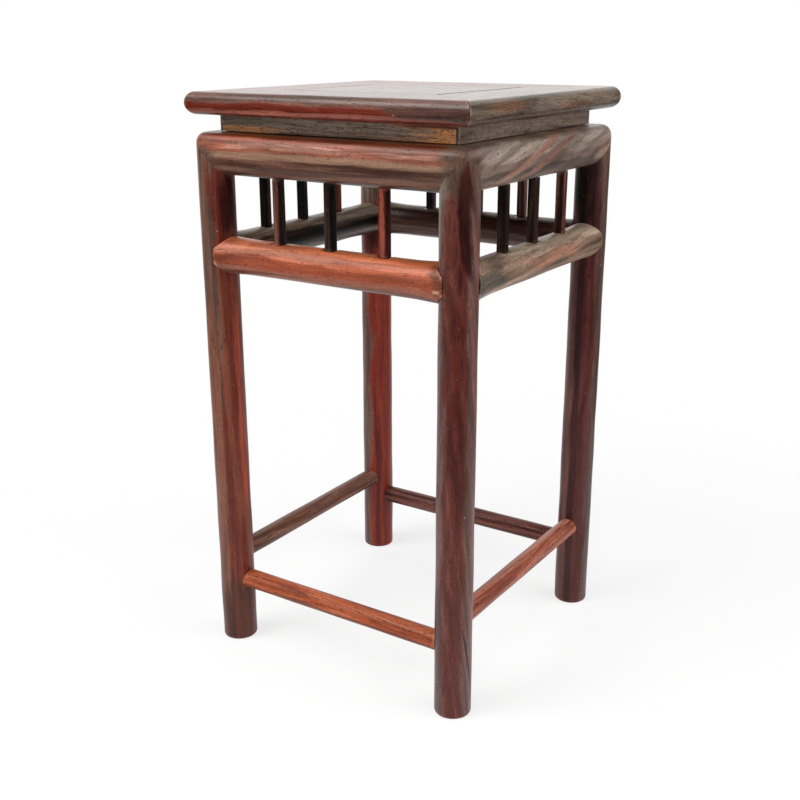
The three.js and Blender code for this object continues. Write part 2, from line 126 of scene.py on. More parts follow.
def bar(section, start, end, steps, stand_off, start_easing=ARRIS, end_easing=ARRIS):
    """The rings of a bar as (along, out, up) points, and how pale each ring is painted: wear, and a painted
    highlight on the eased arris.

    start and end say, for every (out, up), where along the bar its end is cut.
    """
    tangent = np.roll(section, -1, 0) - np.roll(section, 1, 0)
    outward = np.stack([tangent[:, 1], -tangent[:, 0]], 1)
    outward /= np.linalg.norm(outward, axis=1)[:, None]
    around = np.arctan2(section[:, 1], section[:, 0])
    middle_of_cut = (0.12, 0.5, 0.8)
    whole_wear_and_highlight_arris = 0.12
    settling = 4

    def ring(along, inset, worn):
        points = section + outward * (stand_off(along, around) - inset)[:, None]
        return np.column_stack([along, points]), np.full(len(section), worn)

    def met(cut, inset, advance):
        along = cut(section[:, 0], section[:, 1])
        for _ in range(settling):
            points = section + outward * (stand_off(along, around) - inset)[:, None]
            along = cut(points[:, 0], points[:, 1])
        return along + advance

    def end_rings(cut, eased, inwards):
        rings = []
        for share in middle_of_cut:
            points = section * share
            along = cut(points[:, 0], points[:, 1])
            rings.append((np.column_stack([along, points]), np.zeros(len(section))))
        # The eased end rings are painted paler, for wear and for a painted highlight on the arris.
        sharpness = min(1, eased[0][1] / whole_wear_and_highlight_arris)
        for advance, inset in eased:
            rings.append(ring(met(cut, inset, inwards * advance), inset, sharpness * max(0, 1 - advance)))
        return rings

    first = met(start, 0, start_easing[-1][0])
    last = met(end, 0, -end_easing[-1][0])
    rings = end_rings(start, start_easing, 1)
    for step in range(1, steps):
        rings.append(ring(first + (last - first) * step / steps, 0, 0.0))
    rings += reversed(end_rings(end, end_easing, -1))
    return np.array([points for points, worn in rings]), np.array([worn for points, worn in rings])


def skin(name, rings, wear):
    """A closed body whose skin runs through rings of points in millimetres."""
    count, around = rings.shape[:2]
    at = np.arange(count * around).reshape(count, around)
    here, beside = at[:-1], np.roll(at[:-1], -1, 1)
    above, above_beside = at[1:], np.roll(at[1:], -1, 1)
    faces = np.stack([here, beside, above_beside, above], -1).reshape(-1, 4).tolist()
    faces += [at[0][::-1].tolist(), at[-1].tolist()]
    mesh = bpy.data.meshes.new(name)
    mesh.from_pydata((rings.reshape(-1, 3) * MM).tolist(), [], faces)
    # How pale each point is painted: wear, and a painted highlight at the eased ends.
    mesh.attributes.new("wear", "FLOAT", "POINT").data.foreach_set("value", wear.ravel())
    work = bmesh.new()
    work.from_mesh(mesh)
    bmesh.ops.recalc_face_normals(work, faces=work.faces)
    work.to_mesh(mesh)
    work.free()
    crease_angle = 32
    mesh.shade_smooth()
    mesh.set_sharp_from_angle(angle=math.radians(crease_angle))
    made = bpy.data.objects.new(name, mesh)
    bpy.context.collection.objects.link(made)
    return made


def on_side(points, side):
    """Points drawn on the front side, turned to another side of the stand."""
    turn = np.array(Matrix.Rotation(SIDES.index(side) * math.pi / 2, 3, "Z"))
    return np.asarray(points, float) @ turn.T


def node_maker(tree):
    """What adds one shader node to a tree, with its inputs linked or set."""

    def node(kind, inputs, output=0, **settings):
        made = tree.nodes.new("ShaderNode" + kind)
        for setting, value in settings.items():
            setattr(made, setting, value)
        for socket, value in inputs.items():
            if isinstance(value, bpy.types.NodeSocket):
                tree.links.new(value, made.inputs[socket])
            else:
                made.inputs[socket].default_value = value
        return made.outputs[output]

    return node


# How fine each feature of the grain is: waves or cells per millimetre, along it and across it.
SWAY = (0.02, 0.05)
STREAKS = (0.022, 0.75)
FIGURE = (0.012, 0.2)
FIBRES = (0.16, 3.2)
BLACK_LINES = (0.014, 0.9)
RAGGED_EDGES = (0.05, 0.3)
SPECKLES = (1.6, 3.6)
PORES = (0.45, 2.6)
WORN_AND_LIT_SPOTS = (0.5, 0.5)
# Two layers of dust: how far apart the specks lie, their radius, and how much they show.
DUST_LAYERS = ((7.1, 0.18, 0.6), (2.7, 0.13, 0.36))
DUST = (0.5, 0.42, 0.36)


def rosewood(name, side, seed, dark, mid, pale, grain=(1, 0, 0), vein=0.7, pores=0.5, rough=0.33,
             gloss=0.3, wander=5.0, fineness=1.0, patches=()):
    """Rosewood on one side of the stand: streaks, black veins, pores and fibres.

    Each patch is a colour and the windows it shows in: a direction, a middle and a reach in
    millimetres. Directions are those of the front side. Patches give wood tone, and also painted
    light and shade: painted highlights, and painted shade on shaded sides and in recesses.
    """
    wood = bpy.data.materials.new(name)
    wood.use_nodes = True
    shader = wood.node_tree.nodes["Principled BSDF"]
    node = node_maker(wood.node_tree)

    def math_of(operation, first, second=0.0, third=0.0):
        return node("Math", {0: first, 1: second, 2: third}, operation=operation)

    def times(vector, size, finer=1.0):
        along, across = size
        factors = (along, across * finer, across * finer)
        return node("VectorMath", {0: vector, 1: factors}, operation="MULTIPLY")

    def noise(vector, size, detail, finer=1.0, output=0):
        settings = {"Vector": times(vector, size, finer), "Scale": 1.0, "Detail": detail}
        return node("TexNoise", settings, output)

    def ramp(value, low, high, to_low=0.0, to_high=1.0):
        limits = {"Value": value, "From Min": low, "From Max": high, "To Min": to_low, "To Max": to_high}
        return node("MapRange", limits, interpolation_type="SMOOTHSTEP")

    def mixed(share, first, second, blend="MIX"):
        return node("Mix", {0: share, 6: first, 7: second}, 2, data_type="RGBA", blend_type=blend)

    def shade(colour, factor=1.0, lift=0.0):
        return tuple(min(1.0, part * factor + lift) for part in colour) + (1.0,)

    # Where in its log the piece was cut, and how its grain lies and sways.
    draw = random.Random(seed)
    log_size = 500
    offset = [draw.uniform(-log_size, log_size) for _ in range(3)]
    lie = Vector(on_side(grain, side)).to_track_quat("X", "Z").inverted().to_euler()
    place = times(node("TexCoord", {}, "Object"), (1 / MM, 1 / MM))
    in_wood = node("Mapping", {"Vector": place, "Location": offset, "Rotation": lie})
    no_bend = (0.5, 0.5, 0.5)
    sway = noise(in_wood, SWAY, detail=1.5, output=1)
    bend = node("VectorMath", {0: sway, 1: no_bend}, operation="SUBTRACT")
    swayed = node("VectorMath", {0: in_wood, 1: times(bend, (0, wander))}, operation="ADD")

    # The streaks run from dark to pale, and fade into the middle colour in places.
    streak = noise(swayed, STREAKS, detail=5.0, finer=fineness)
    figure = noise(swayed, FIGURE, detail=2.0)
    tone = ramp(streak, 0.32, 0.68)
    colour = mixed(ramp(tone, 0.0, 0.5), shade(dark), shade(mid))
    colour = mixed(ramp(tone, 0.5, 1.0), colour, shade(pale))
    colour = mixed(ramp(figure, 0.35, 0.6, to_high=0.4), colour, shade(mid))

    # Patches of wood tone and of painted light and shade, with ragged edges that follow the grain.
    ragged = math_of("SUBTRACT", noise(in_wood, RAGGED_EDGES, detail=3.0), 0.5)
    raggedness, fade_start, fade_end = 2.4, 0.5, 1.1
    patch_dark, patch_pale = 0.65, 1.25
    for tint, *windows in patches:
        cover = 1.0
        for direction, middle, reach in windows:
            turned = on_side(direction, side)
            across = node("VectorMath", {0: place, 1: turned}, "Value", operation="DOT_PRODUCT")
            off = math_of("SUBTRACT", across, middle)
            off = math_of("ABSOLUTE", math_of("MULTIPLY_ADD", ragged, raggedness * reach, off))
            inside = ramp(off, fade_start * reach, fade_end * reach, to_low=1.0, to_high=0.0)
            cover = math_of("MULTIPLY", cover, inside)
        tinted = mixed(ramp(streak, 0.36, 0.64), shade(tint, patch_dark), shade(tint, patch_pale))
        colour = mixed(cover, colour, tinted)

    # Black lines, fibres and speckles.
    line = noise(swayed, BLACK_LINES, detail=1.0)
    off_line = math_of("ABSOLUTE", math_of("SUBTRACT", line, 0.5))
    nearness = ramp(off_line, 0.0, 0.03, to_low=1.0, to_high=0.0)
    veined = math_of("MULTIPLY", math_of("MULTIPLY", nearness, ramp(figure, 0.42, 0.58)), vein)
    colour = mixed(veined, colour, shade(dark, factor=0.2))
    fibre = noise(swayed, FIBRES, detail=4.0)
    fibre_strength, speckle_strength = 0.5, 0.6
    fibres = ramp(fibre, 0.25, 0.75, to_low=0.6, to_high=1.4)
    colour = mixed(fibre_strength, colour, fibres, "MULTIPLY")
    speckles = ramp(noise(in_wood, SPECKLES, detail=2.0), 0.3, 0.7, to_low=0.7, to_high=1.3)
    colour = mixed(speckle_strength, colour, speckles, "MULTIPLY")

    # Open pores, drawn at random from cells that are long along the grain.
    cells = node("TexVoronoi", {"Vector": times(swayed, PORES), "Scale": 1.0})
    drawn = node("SeparateColor", {"Color": cells.node.outputs["Color"]})
    chosen = ramp(drawn, 0.98 - pores, 1.02 - pores)
    pore = math_of("MULTIPLY", ramp(cells, 0.18, 0.36, to_low=1.0, to_high=0.0), chosen)
    pore_strength = 0.8
    colour = mixed(math_of("MULTIPLY", pore, pore_strength), colour, shade(dark, factor=0.1))

    # Paler arrises in spots, for wear and for a painted highlight on them, and dust.
    worn = node("Attribute", {}, "Fac", attribute_name="wear")
    spots = ramp(noise(in_wood, WORN_AND_LIT_SPOTS, detail=3.0), 0.45, 0.65)
    wear_and_highlight_strength = 0.5
    edge = math_of("MULTIPLY", math_of("MULTIPLY", worn, spots), wear_and_highlight_strength)
    colour = mixed(edge, colour, shade(pale, factor=1.8, lift=0.05))
    for spacing, speck, strength in DUST_LAYERS:
        dust = node("TexVoronoi", {"Vector": times(in_wood, (1 / spacing, 1 / spacing)), "Scale": 1.0})
        shown = ramp(dust, 0.8 * speck / spacing, 1.2 * speck / spacing, to_low=strength, to_high=0.0)
        colour = mixed(shown, colour, shade(DUST))

    # The wax is duller where the fibres stand up, and the pores are sunk a little.
    smoother, rougher = 0.05, 0.12
    roughness = ramp(fibre, 0.2, 0.8, to_low=rough - smoother, to_high=rough + rougher)
    fibre_rise, pore_depth = 0.3, 0.06 * MM
    relief = math_of("SUBTRACT", math_of("MULTIPLY", fibre, fibre_rise), pore)
    bumped = node("Bump", {"Height": relief, "Strength": 0.6, "Distance": pore_depth})
    wood.node_tree.links.new(colour, shader.inputs["Base Color"])
    wood.node_tree.links.new(roughness, shader.inputs["Roughness"])
    wood.node_tree.links.new(bumped, shader.inputs["Normal"])
    shader.inputs["IOR"].default_value = 1.55
    shader.inputs["Specular IOR Level"].default_value = gloss
    return wood


def dress(piece, node_name, wood):
    """Gives a piece its wood, and puts it in the place of its CAD node."""
    piece.data.materials.append(wood)
    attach(piece, "root")
    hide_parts(node_name)


def leg_head(right, out):
    """The height of the double mitre on the leg's head, by place in plan."""
    return rail_middle + mitre_slope * np.minimum(right, out) - mitre_gap


def leg_foot(right, out):
    return 0 * right


def shoulder_inset(up):
    """How far in the rounded outer top edge lies, by height above the rail's middle."""
    rise = np.clip((up - rail_half_height) / shoulder_height + 1, 0, 1)
    return shoulder_width * (1 - np.sqrt(1 - rise**2))


LEG_WOODS = {
    "front_right": dict(grain=(-0.03, -0.14, 1), dark=(0.065, 0.013, 0.008), mid=(0.1, 0.021, 0.014),
                        pale=(0.145, 0.042, 0.03)),
    "back_right": dict(grain=(0.02, 0.0, 1), dark=(0.045, 0.008, 0.007), mid=(0.078, 0.015, 0.012),
                       pale=(0.115, 0.032, 0.025)),
    "back_left": dict(grain=(0.0, 0.03, 1), dark=(0.12, 0.01, 0.004), mid=(0.18, 0.018, 0.007),
                      pale=(0.23, 0.037, 0.017)),
    "front_left": dict(grain=(0.02, 0.0, 1), dark=(0.09, 0.012, 0.006), mid=(0.14, 0.022, 0.01),
                       pale=(0.19, 0.05, 0.027)),
}
UPRIGHT = (0, 0, 1)
# Directions across the legs as the camera sees them, drawn before each leg is turned to its side.
NEAR_LEG_LEFT = (-0.87, -0.5, 0)
NEAR_LEG_RIGHT = (0.77, 0.64, 0)
RIGHT_LEG_LEFT = (-0.4, 0.92, 0)
RIGHT_LEG_OUTWARDS = (-0.32, -0.95, 0)
REAR_LEG_LEFT = (0.825, 0.565, 0)
REAR_LEG_RIGHT = (-0.839, -0.545, 0)
LEFT_LEG_LEFT = (0.68, -0.74, 0)
LEFT_LEG_BACKWARDS = (-0.98, 0.21, 0)
ACROSS_CRACK = (0.081, 0.977, 0.196)
END_BROWN = (0.1, 0.055, 0.038)
LEG_TOP = (END_BROWN, (UPRIGHT, 160, 16))
# Most patches on the legs paint light and shade as the camera sees them: paler, greyer painted light and
# painted reflection on the lit left sides, dark red and near-black painted shade on the right sides and
# under the rails, and a near-black line of painted shade where a drying crack runs low on the near leg. The
# brown tops are wood tone.
LEG_TONE_AND_LIGHT_PATCHES = {
    "front_right": [((0.1, 0.047, 0.039), (NEAR_LEG_LEFT, -9.9, 1.8)),
                    ((0.12, 0.055, 0.045), (NEAR_LEG_LEFT, -19.0, 2.0)), LEG_TOP,
                    ((0.14, 0.11, 0.09), (UPRIGHT, 146, 16), (NEAR_LEG_LEFT, -10.0, 1.6)),
                    ((0.085, 0.014, 0.009), (UPRIGHT, 85, 40), (NEAR_LEG_RIGHT, 4.2, 2.2)),
                    ((0.055, 0.012, 0.007), (UPRIGHT, 148.5, 6.5), (NEAR_LEG_RIGHT, 5.6, 2.0)),
                    ((0.025, 0.003, 0.002), (UPRIGHT, 137, 14), (NEAR_LEG_RIGHT, 5.9, 2.4)),
                    ((0.003, 0.001, 0.001), (UPRIGHT, 14, 13), (ACROSS_CRACK, -32.78, 0.36))],
    "back_right": [((0.075, 0.04, 0.03), (RIGHT_LEG_LEFT, -57.2, 1.8)),
                   ((0.13, 0.045, 0.034), (RIGHT_LEG_LEFT, -49.2, 1.3)),
                   ((0.045, 0.009, 0.008), (RIGHT_LEG_LEFT, -51.3, 1.2)), LEG_TOP,
                   ((0.03, 0.008, 0.006), (UPRIGHT, 141, 16), (RIGHT_LEG_LEFT, -52.5, 3.5)),
                   ((0.008, 0.005, 0.003), (UPRIGHT, 141, 12), (RIGHT_LEG_OUTWARDS, 25.2, 4.2))],
    "back_left": [((0.1, 0.05, 0.038), (REAR_LEG_LEFT, 14.9, 2.5)),
                  ((0.1, 0.008, 0.004), (UPRIGHT, 28, 34), (REAR_LEG_RIGHT, -11.8, 1.3)),
                  ((0.2, 0.08, 0.05), (UPRIGHT, 160, 45)), ((0.06, 0.008, 0.005), (UPRIGHT, 117, 6)),
                  ((0.14, 0.092, 0.066), (UPRIGHT, 138, 8))],
    "front_left": [((0.15, 0.055, 0.032), (LEFT_LEG_LEFT, 61.6, 3.4)),
                   ((0.24, 0.04, 0.018), (UPRIGHT, 95, 50), (LEFT_LEG_LEFT, 53.4, 1.2)),
                   ((0.08, 0.02, 0.012), (UPRIGHT, 6, 16)), (END_BROWN, (UPRIGHT, 160, 12)),
                   ((0.115, 0.056, 0.038), (UPRIGHT, 137, 34), (LEFT_LEG_LEFT, 61.8, 4.6)),
                   ((0.13, 0.012, 0.005), (UPRIGHT, 134, 20), (LEFT_LEG_LEFT, 56.4, 1.0)),
                   ((0.035, 0.003, 0.002), (UPRIGHT, 139, 10), (LEFT_LEG_BACKWARDS, -47.5, 2.6))],
}

for number, corner in enumerate(CORNERS):
    planed = hand_planed(depth=0.12, seed=10 + number)

    def leg_side(height, around):
        taper = leg_radius(height) - rail_half_width
        return taper + planed(height, around) - shoulder_inset(height - rail_middle)

    section = round_section(rail_half_width, facets=72)
    rings, wear = bar(section, leg_foot, leg_head, steps=90, stand_off=leg_side,
                      start_easing=LEG_FOOT, end_easing=LEG_HEAD)
    post = np.stack([leg_centre + rings[..., 1], -leg_centre - rings[..., 2], rings[..., 0]], -1)
    node_name = f"leg_{corner}"
    leg = skin(f"{node_name}_post", on_side(post, SIDES[number]), wear)
    wood = rosewood(f"{node_name}_wood", SIDES[number], seed=30 + number, pores=0.15, vein=0.35,
                    gloss=0.24, fineness=0.7, patches=LEG_TONE_AND_LIGHT_PATCHES[corner], **LEG_WOODS[corner])
    dress(leg, node_name, wood)


# Stretchers
# Four thin round rods near the feet, of redder rosewood. Their ends are hollowed to the
# legs and pinned. The front and back ones lie lower, so that the pins pass one another.

def cope(out, height):
    """Where a rail of the front side meets the round leg at its right-hand end."""
    return leg_centre - np.sqrt(np.maximum(leg_radius(height) ** 2 - out**2, 0)) - joint_gap


def along_front(rings, axis_out, height):
    """Rings of (along, out, up) points, set as a rail on the front side."""
    return np.stack([rings[..., 0], -axis_out - rings[..., 1], height + rings[..., 2]], -1)


STRETCHER_WOODS = {
    "front": dict(dark=(0.16, 0.03, 0.01), mid=(0.33, 0.07, 0.024), pale=(0.43, 0.125, 0.05),
                  patches=[((0.19, 0.045, 0.015), (UPRIGHT, 19.2, 1.2))]),
    "right": dict(dark=(0.14, 0.034, 0.02), mid=(0.31, 0.09, 0.052), pale=(0.4, 0.16, 0.11)),
    "back": dict(dark=(0.03, 0.008, 0.005), mid=(0.1, 0.026, 0.018), pale=(0.17, 0.06, 0.045)),
    "left": dict(dark=(0.06, 0.02, 0.012), mid=(0.13, 0.05, 0.03), pale=(0.22, 0.11, 0.07)),
}

for number, side in enumerate(SIDES):
    node_name = f"stretcher_{side}"
    low, high = cad_corners(node_name)
    height = (low.z + high.z) / 2

    def stretcher_end(out, up):
        return cope(out, height + up)

    def other_stretcher_end(out, up):
        return -cope(out, height + up)

    section = round_section((high.z - low.z) / 2, facets=48)
    planed = hand_planed(depth=0.07, seed=50 + number)
    rings, wear = bar(section, other_stretcher_end, stretcher_end, steps=60, stand_off=planed)
    rod = skin(f"{node_name}_rod", on_side(along_front(rings, leg_centre, height), side), wear)
    wood = rosewood(f"{node_name}_wood", side, seed=60 + number, grain=(1, 0, 0.01), pores=0.35,
                    vein=0.5, gloss=0.16, **STRETCHER_WOODS[side])
    dress(rod, node_name, wood)


# Apron rails
# Four round rails as thick as the legs, which swell towards their ends. The ends are hollowed
# to wrap half round the legs and cut blunt. Small flats on top of the rails carry the struts.

# A pale olive line painted along the tops of the back and left rails, a painted highlight.
OLIVE_HIGHLIGHT = (0.16, 0.11, 0.075)
# The back and left rails are seen from inside the stand, and their near-black colours are painted shade.
APRON_WOODS = {
    "front": dict(dark=(0.13, 0.02, 0.006), mid=(0.4, 0.075, 0.022), pale=(0.52, 0.14, 0.055),
                  grain=(1, 0, 0.02), fineness=0.6),
    "right": dict(dark=(0.06, 0.035, 0.022), mid=(0.18, 0.115, 0.078), pale=(0.32, 0.2, 0.14),
                  grain=(1, 0, 0.1), fineness=0.6),
    "back": dict(dark=(0.01, 0.003, 0.002), mid=(0.045, 0.014, 0.009), pale=(0.1, 0.05, 0.03)),
    "left": dict(dark=(0.012, 0.003, 0.002), mid=(0.05, 0.014, 0.009), pale=(0.1, 0.045, 0.03)),
}
RIGHTWARDS = (1, 0, 0)
INWARDS = (0, 1, 0)
# Most bands on the apron rails paint light and shade by height: a painted highlight along the upper side,
# darker painted shade on the lower half, a purplish painted reflection of the floor underneath, and
# near-black painted shade on the inner face of the left rail. The spots at the ends are wood tone.
APRON_TONE_AND_LIGHT_PATCHES = {
    "front": [((0.3, 0.09, 0.035), (UPRIGHT, 129.8, 0.6)), ((0.44, 0.12, 0.055), (UPRIGHT, 128.4, 0.9)),
              ((0.54, 0.16, 0.075), (RIGHTWARDS, -10, 27), (UPRIGHT, 127.4, 1.5)),
              ((0.22, 0.045, 0.018), (UPRIGHT, 124.2, 2.2)), ((0.21, 0.065, 0.036), (UPRIGHT, 121.4, 1.8)),
              ((0.15, 0.06, 0.05), (UPRIGHT, 119.6, 1.1)),
              ((0.2, 0.06, 0.03), (RIGHTWARDS, -38.5, 2)), ((0.15, 0.035, 0.014), (RIGHTWARDS, 38, 4)),
              ((0.5, 0.22, 0.1), (RIGHTWARDS, -37.8, 0.8), (UPRIGHT, 122.6, 1.0)),
              ((0.36, 0.17, 0.1), (RIGHTWARDS, 36.2, 1.3), (UPRIGHT, 123.2, 0.5))],
    "right": [((0.3, 0.22, 0.15), (UPRIGHT, 129.2, 1.2)),
              ((0.15, 0.095, 0.065), (RIGHTWARDS, -27, 14), (UPRIGHT, 129.0, 1.3)),
              ((0.33, 0.24, 0.17), (RIGHTWARDS, 6, 12), (UPRIGHT, 127.9, 0.9)),
              ((0.36, 0.26, 0.19), (RIGHTWARDS, 33, 7), (UPRIGHT, 128.8, 1.3)),
              ((0.1, 0.05, 0.03), (RIGHTWARDS, -27, 4), (UPRIGHT, 127.6, 1.0)),
              ((0.27, 0.13, 0.085), (RIGHTWARDS, 6, 20), (UPRIGHT, 124.8, 2.4)),
              ((0.2, 0.1, 0.08), (UPRIGHT, 119.8, 0.9)), ((0.08, 0.045, 0.03), (RIGHTWARDS, -39, 4)),
              ((0.095, 0.075, 0.055), (RIGHTWARDS, -31, 9), (UPRIGHT, 125, 4))],
    "back": [(OLIVE_HIGHLIGHT, (UPRIGHT, 129.6, 0.9))],
    "left": [((0.24, 0.17, 0.12), (UPRIGHT, 128.9, 1.8)),
             ((0.003, 0.0015, 0.001), (INWARDS, -35.5, 4), (UPRIGHT, 124.8, 2.4)),
             ((0.12, 0.085, 0.08), (UPRIGHT, 121.4, 0.9))],
}

apron_low, apron_high = cad_corners("apron_rail_front")
apron_height = (apron_low.z + apron_high.z) / 2
apron_radius = 5.05
apron_end_radius = 5.45
apron_half_length = 38.2
swelling_length = 12.0
seat_depth = 0.5
seat_height = apron_radius - seat_depth
seat_half_width = 1.7
seat_half_mouth = 2.9
APRON_END = [(0, 0.25), (0.06, 0.12), (0.2, 0.03), (0.4, 0), (0.8, 0), (1.4, 0)]


def apron_end(out, up):
    """The apron rail's right-hand end: coped round the leg, and mitred on the inside."""
    wrapped = np.minimum(cope(out, apron_height + up), leg_centre + out - joint_gap)
    return np.minimum(wrapped, apron_half_length)


def other_apron_end(out, up):
    return -apron_end(out, up)


def strut_places(side):
    """How far the struts of a side stand from its middle."""
    places = []
    for place in (1, 2, 3):
        low, high = cad_corners(f"strut_{side}_{place}")
        middle = on_side((low + high) / 2, SIDES[-SIDES.index(side)])
        places.append(middle[0])
    return places


def apron_side(places, planed):
    """How far the apron rail stands off a round bar: its thinner middle, and the struts' seats."""
    near_top = 0.1

    def stand_off(along, around):
        swell = np.clip((np.abs(along) - apron_half_length) / swelling_length + 1, 0, 1)
        rise = (1 - np.cos(math.pi * swell)) / 2
        depth = (apron_radius - apron_end_radius) * (1 - rise) + planed(along, around)
        for place in places:
            past_seat = (np.abs(along - place) - seat_half_width) / (seat_half_mouth - seat_half_width)
            ceiling = seat_height + (apron_end_radius - seat_height) * np.clip(past_seat, 0, 1)
            flat = ceiling / np.maximum(np.sin(around), near_top) - apron_end_radius
            depth = np.where(np.sin(around) > near_top, np.minimum(depth, flat), depth)
        return depth

    return stand_off


for number, side in enumerate(SIDES):
    node_name = f"apron_rail_{side}"
    section = round_section(apron_end_radius, facets=96)
    shaped = apron_side(strut_places(side), hand_planed(depth=0.1, seed=80 + number))
    rings, wear = bar(section, other_apron_end, apron_end, steps=160, stand_off=shaped,
                      start_easing=APRON_END, end_easing=APRON_END)
    rail = skin(f"{node_name}_rod", on_side(along_front(rings, leg_centre, apron_height), side), wear)
    wood = rosewood(f"{node_name}_wood", side, seed=90 + number, pores=0.2, vein=0.4, gloss=0.25,
                    patches=APRON_TONE_AND_LIGHT_PATCHES[side], **APRON_WOODS[side])
    dress(rail, node_name, wood)


# Struts
# Three little square struts on each side, with their edges eased. Each stands on its flat on
# the apron rail, and its head is hollowed to the underside of the upper rail.

def eased_box(half_width, half_height, ease, between):
    """A rectangle with rounded corners as (out, up) points."""
    corner_points = 4
    corner_turns = np.linspace(0, math.pi / 2, corner_points)
    points = []
    for quarter, (right, up) in enumerate(((1, 1), (-1, 1), (-1, -1), (1, -1))):
        middle = Vector((right * (half_width - ease), up * (half_height - ease)))
        for turn in corner_turns + quarter * math.pi / 2:
            points.append(middle + ease * Vector((math.cos(turn), math.sin(turn))))
    outline = []
    for here, following in zip(points, points[1:] + points[:1]):
        pieces = between if (following - here).length > ease else 1
        outline += [here.lerp(following, step / pieces) for step in range(pieces)]
    return np.array([tuple(point) for point in outline])


STRUT_WOODS = {
    "brown": dict(dark=(0.02, 0.005, 0.003), mid=(0.09, 0.028, 0.018), pale=(0.17, 0.075, 0.052)),
    "black": dict(dark=(0.004, 0.002, 0.001), mid=(0.018, 0.008, 0.005), pale=(0.05, 0.026, 0.018)),
    "red": dict(dark=(0.05, 0.006, 0.003), mid=(0.17, 0.028, 0.013), pale=(0.24, 0.055, 0.028)),
}
STRUT_TONES = {
    "front": ["brown", "black", "red"],
    "right": ["black", "black", "brown"],
    "back": ["brown", "black", "black"],
    "left": ["red", "black", "black"],
}
strut_ease = 0.35
shaded_face_reach = 0.8


def strut_foot(right, out):
    return apron_height + seat_height + joint_gap + 0 * out


def strut_head(right, out):
    return rail_middle - rail_half_height * np.sqrt(1 - (out / rail_half_width) ** 2) - joint_gap


for number, side in enumerate(SIDES):
    for place, x in enumerate(strut_places(side), 1):
        node_name = f"strut_{side}_{place}"
        low, high = cad_corners(node_name)
        half_side = (high.x - low.x) / 2
        section = eased_box(half_side, half_side, strut_ease, between=3)
        planed = hand_planed(depth=0.05, seed=120 + 3 * number + place)
        rings, wear = bar(section, strut_foot, strut_head, steps=24, stand_off=planed)
        stick = np.stack([x + rings[..., 1], -leg_centre - rings[..., 2], rings[..., 0]], -1)
        strut = skin(f"{node_name}_stick", on_side(stick, side), wear)
        tone = STRUT_WOODS[STRUT_TONES[side][place - 1]]
        # The strut's right-hand face is painted in its dark tone, as painted shade.
        shaded_face = (tone["dark"], (RIGHTWARDS, x + half_side, shaded_face_reach))
        wood = rosewood(f"{node_name}_wood", side, seed=140 + 3 * number + place, grain=UPRIGHT,
                        pores=0.3, gloss=0.22, patches=[shaded_face], **tone)
        dress(strut, node_name, wood)


# Upper rails
# Four rails, oval below, with a rounded outer top edge and a flat shelf for the waist. They
# turn the corners rounded, and are mitred to one another and down to the leg heads.

UPPER_END = easing(arris=0.03, reach=5.0, rings=12)
waist_inside = leg_centre + rail_high.y
least_out = 0.01


def upper_rail_section():
    """The outline as (out, up) points, from the inner side round underneath to the top."""
    oval_points, straight_points, shoulder_points = 44, 4, 14
    meet = math.acos(waist_inside / rail_half_width)
    under = np.linspace(meet - math.pi, 0, oval_points)
    oval = np.stack([rail_half_width * np.cos(under), rail_half_height * np.sin(under)], 1)
    up = np.linspace(0, rail_half_height - shoulder_height, straight_points)[1:]
    straight = np.stack([np.full(len(up), rail_half_width), up], 1)
    turn = np.linspace(0, math.pi / 2, shoulder_points)[1:]
    over = np.stack([
        rail_half_width - shoulder_width * (1 - np.cos(turn)),
        rail_half_height - shoulder_height * (1 - np.sin(turn)),
    ], 1)
    ease = 0.3
    across_shelf = (0.6, -0.9, -2.4, ease - waist_inside)
    down_inside = (rail_half_height - ease, 0.4 * rail_half_height, -0.1 * rail_half_height)
    shelf = [(out, rail_half_height) for out in across_shelf]
    inner_side = [(-waist_inside, height) for height in down_inside]
    return np.vstack([oval, straight, over, shelf, inner_side])


def upper_end(out, up):
    """Where the right-hand end is cut, as a length that runs on round the leg's middle."""
    rise = up / mitre_slope
    turn = np.minimum(np.arcsin(np.clip(rise / np.maximum(out, least_out), 0, 1)), math.pi / 4)
    bent = np.minimum(rise, 0) + out * turn
    return leg_centre + np.where(out > 0, bent, np.minimum(out, rise)) - mitre_gap


def other_upper_end(out, up):
    return -upper_end(out, up)


def round_corners(rings):
    """Bends what runs past the legs' middles round the corners of the stand."""
    along, out, up = np.moveaxis(rings, -1, 0)
    past = np.where(out > 0, np.maximum(np.abs(along) - leg_centre, 0), 0)
    turn = past / np.maximum(out, least_out)
    straight = np.sign(along) * (np.abs(along) - past)
    return np.stack([straight + np.sign(along) * out * np.sin(turn), out * np.cos(turn), up], -1)


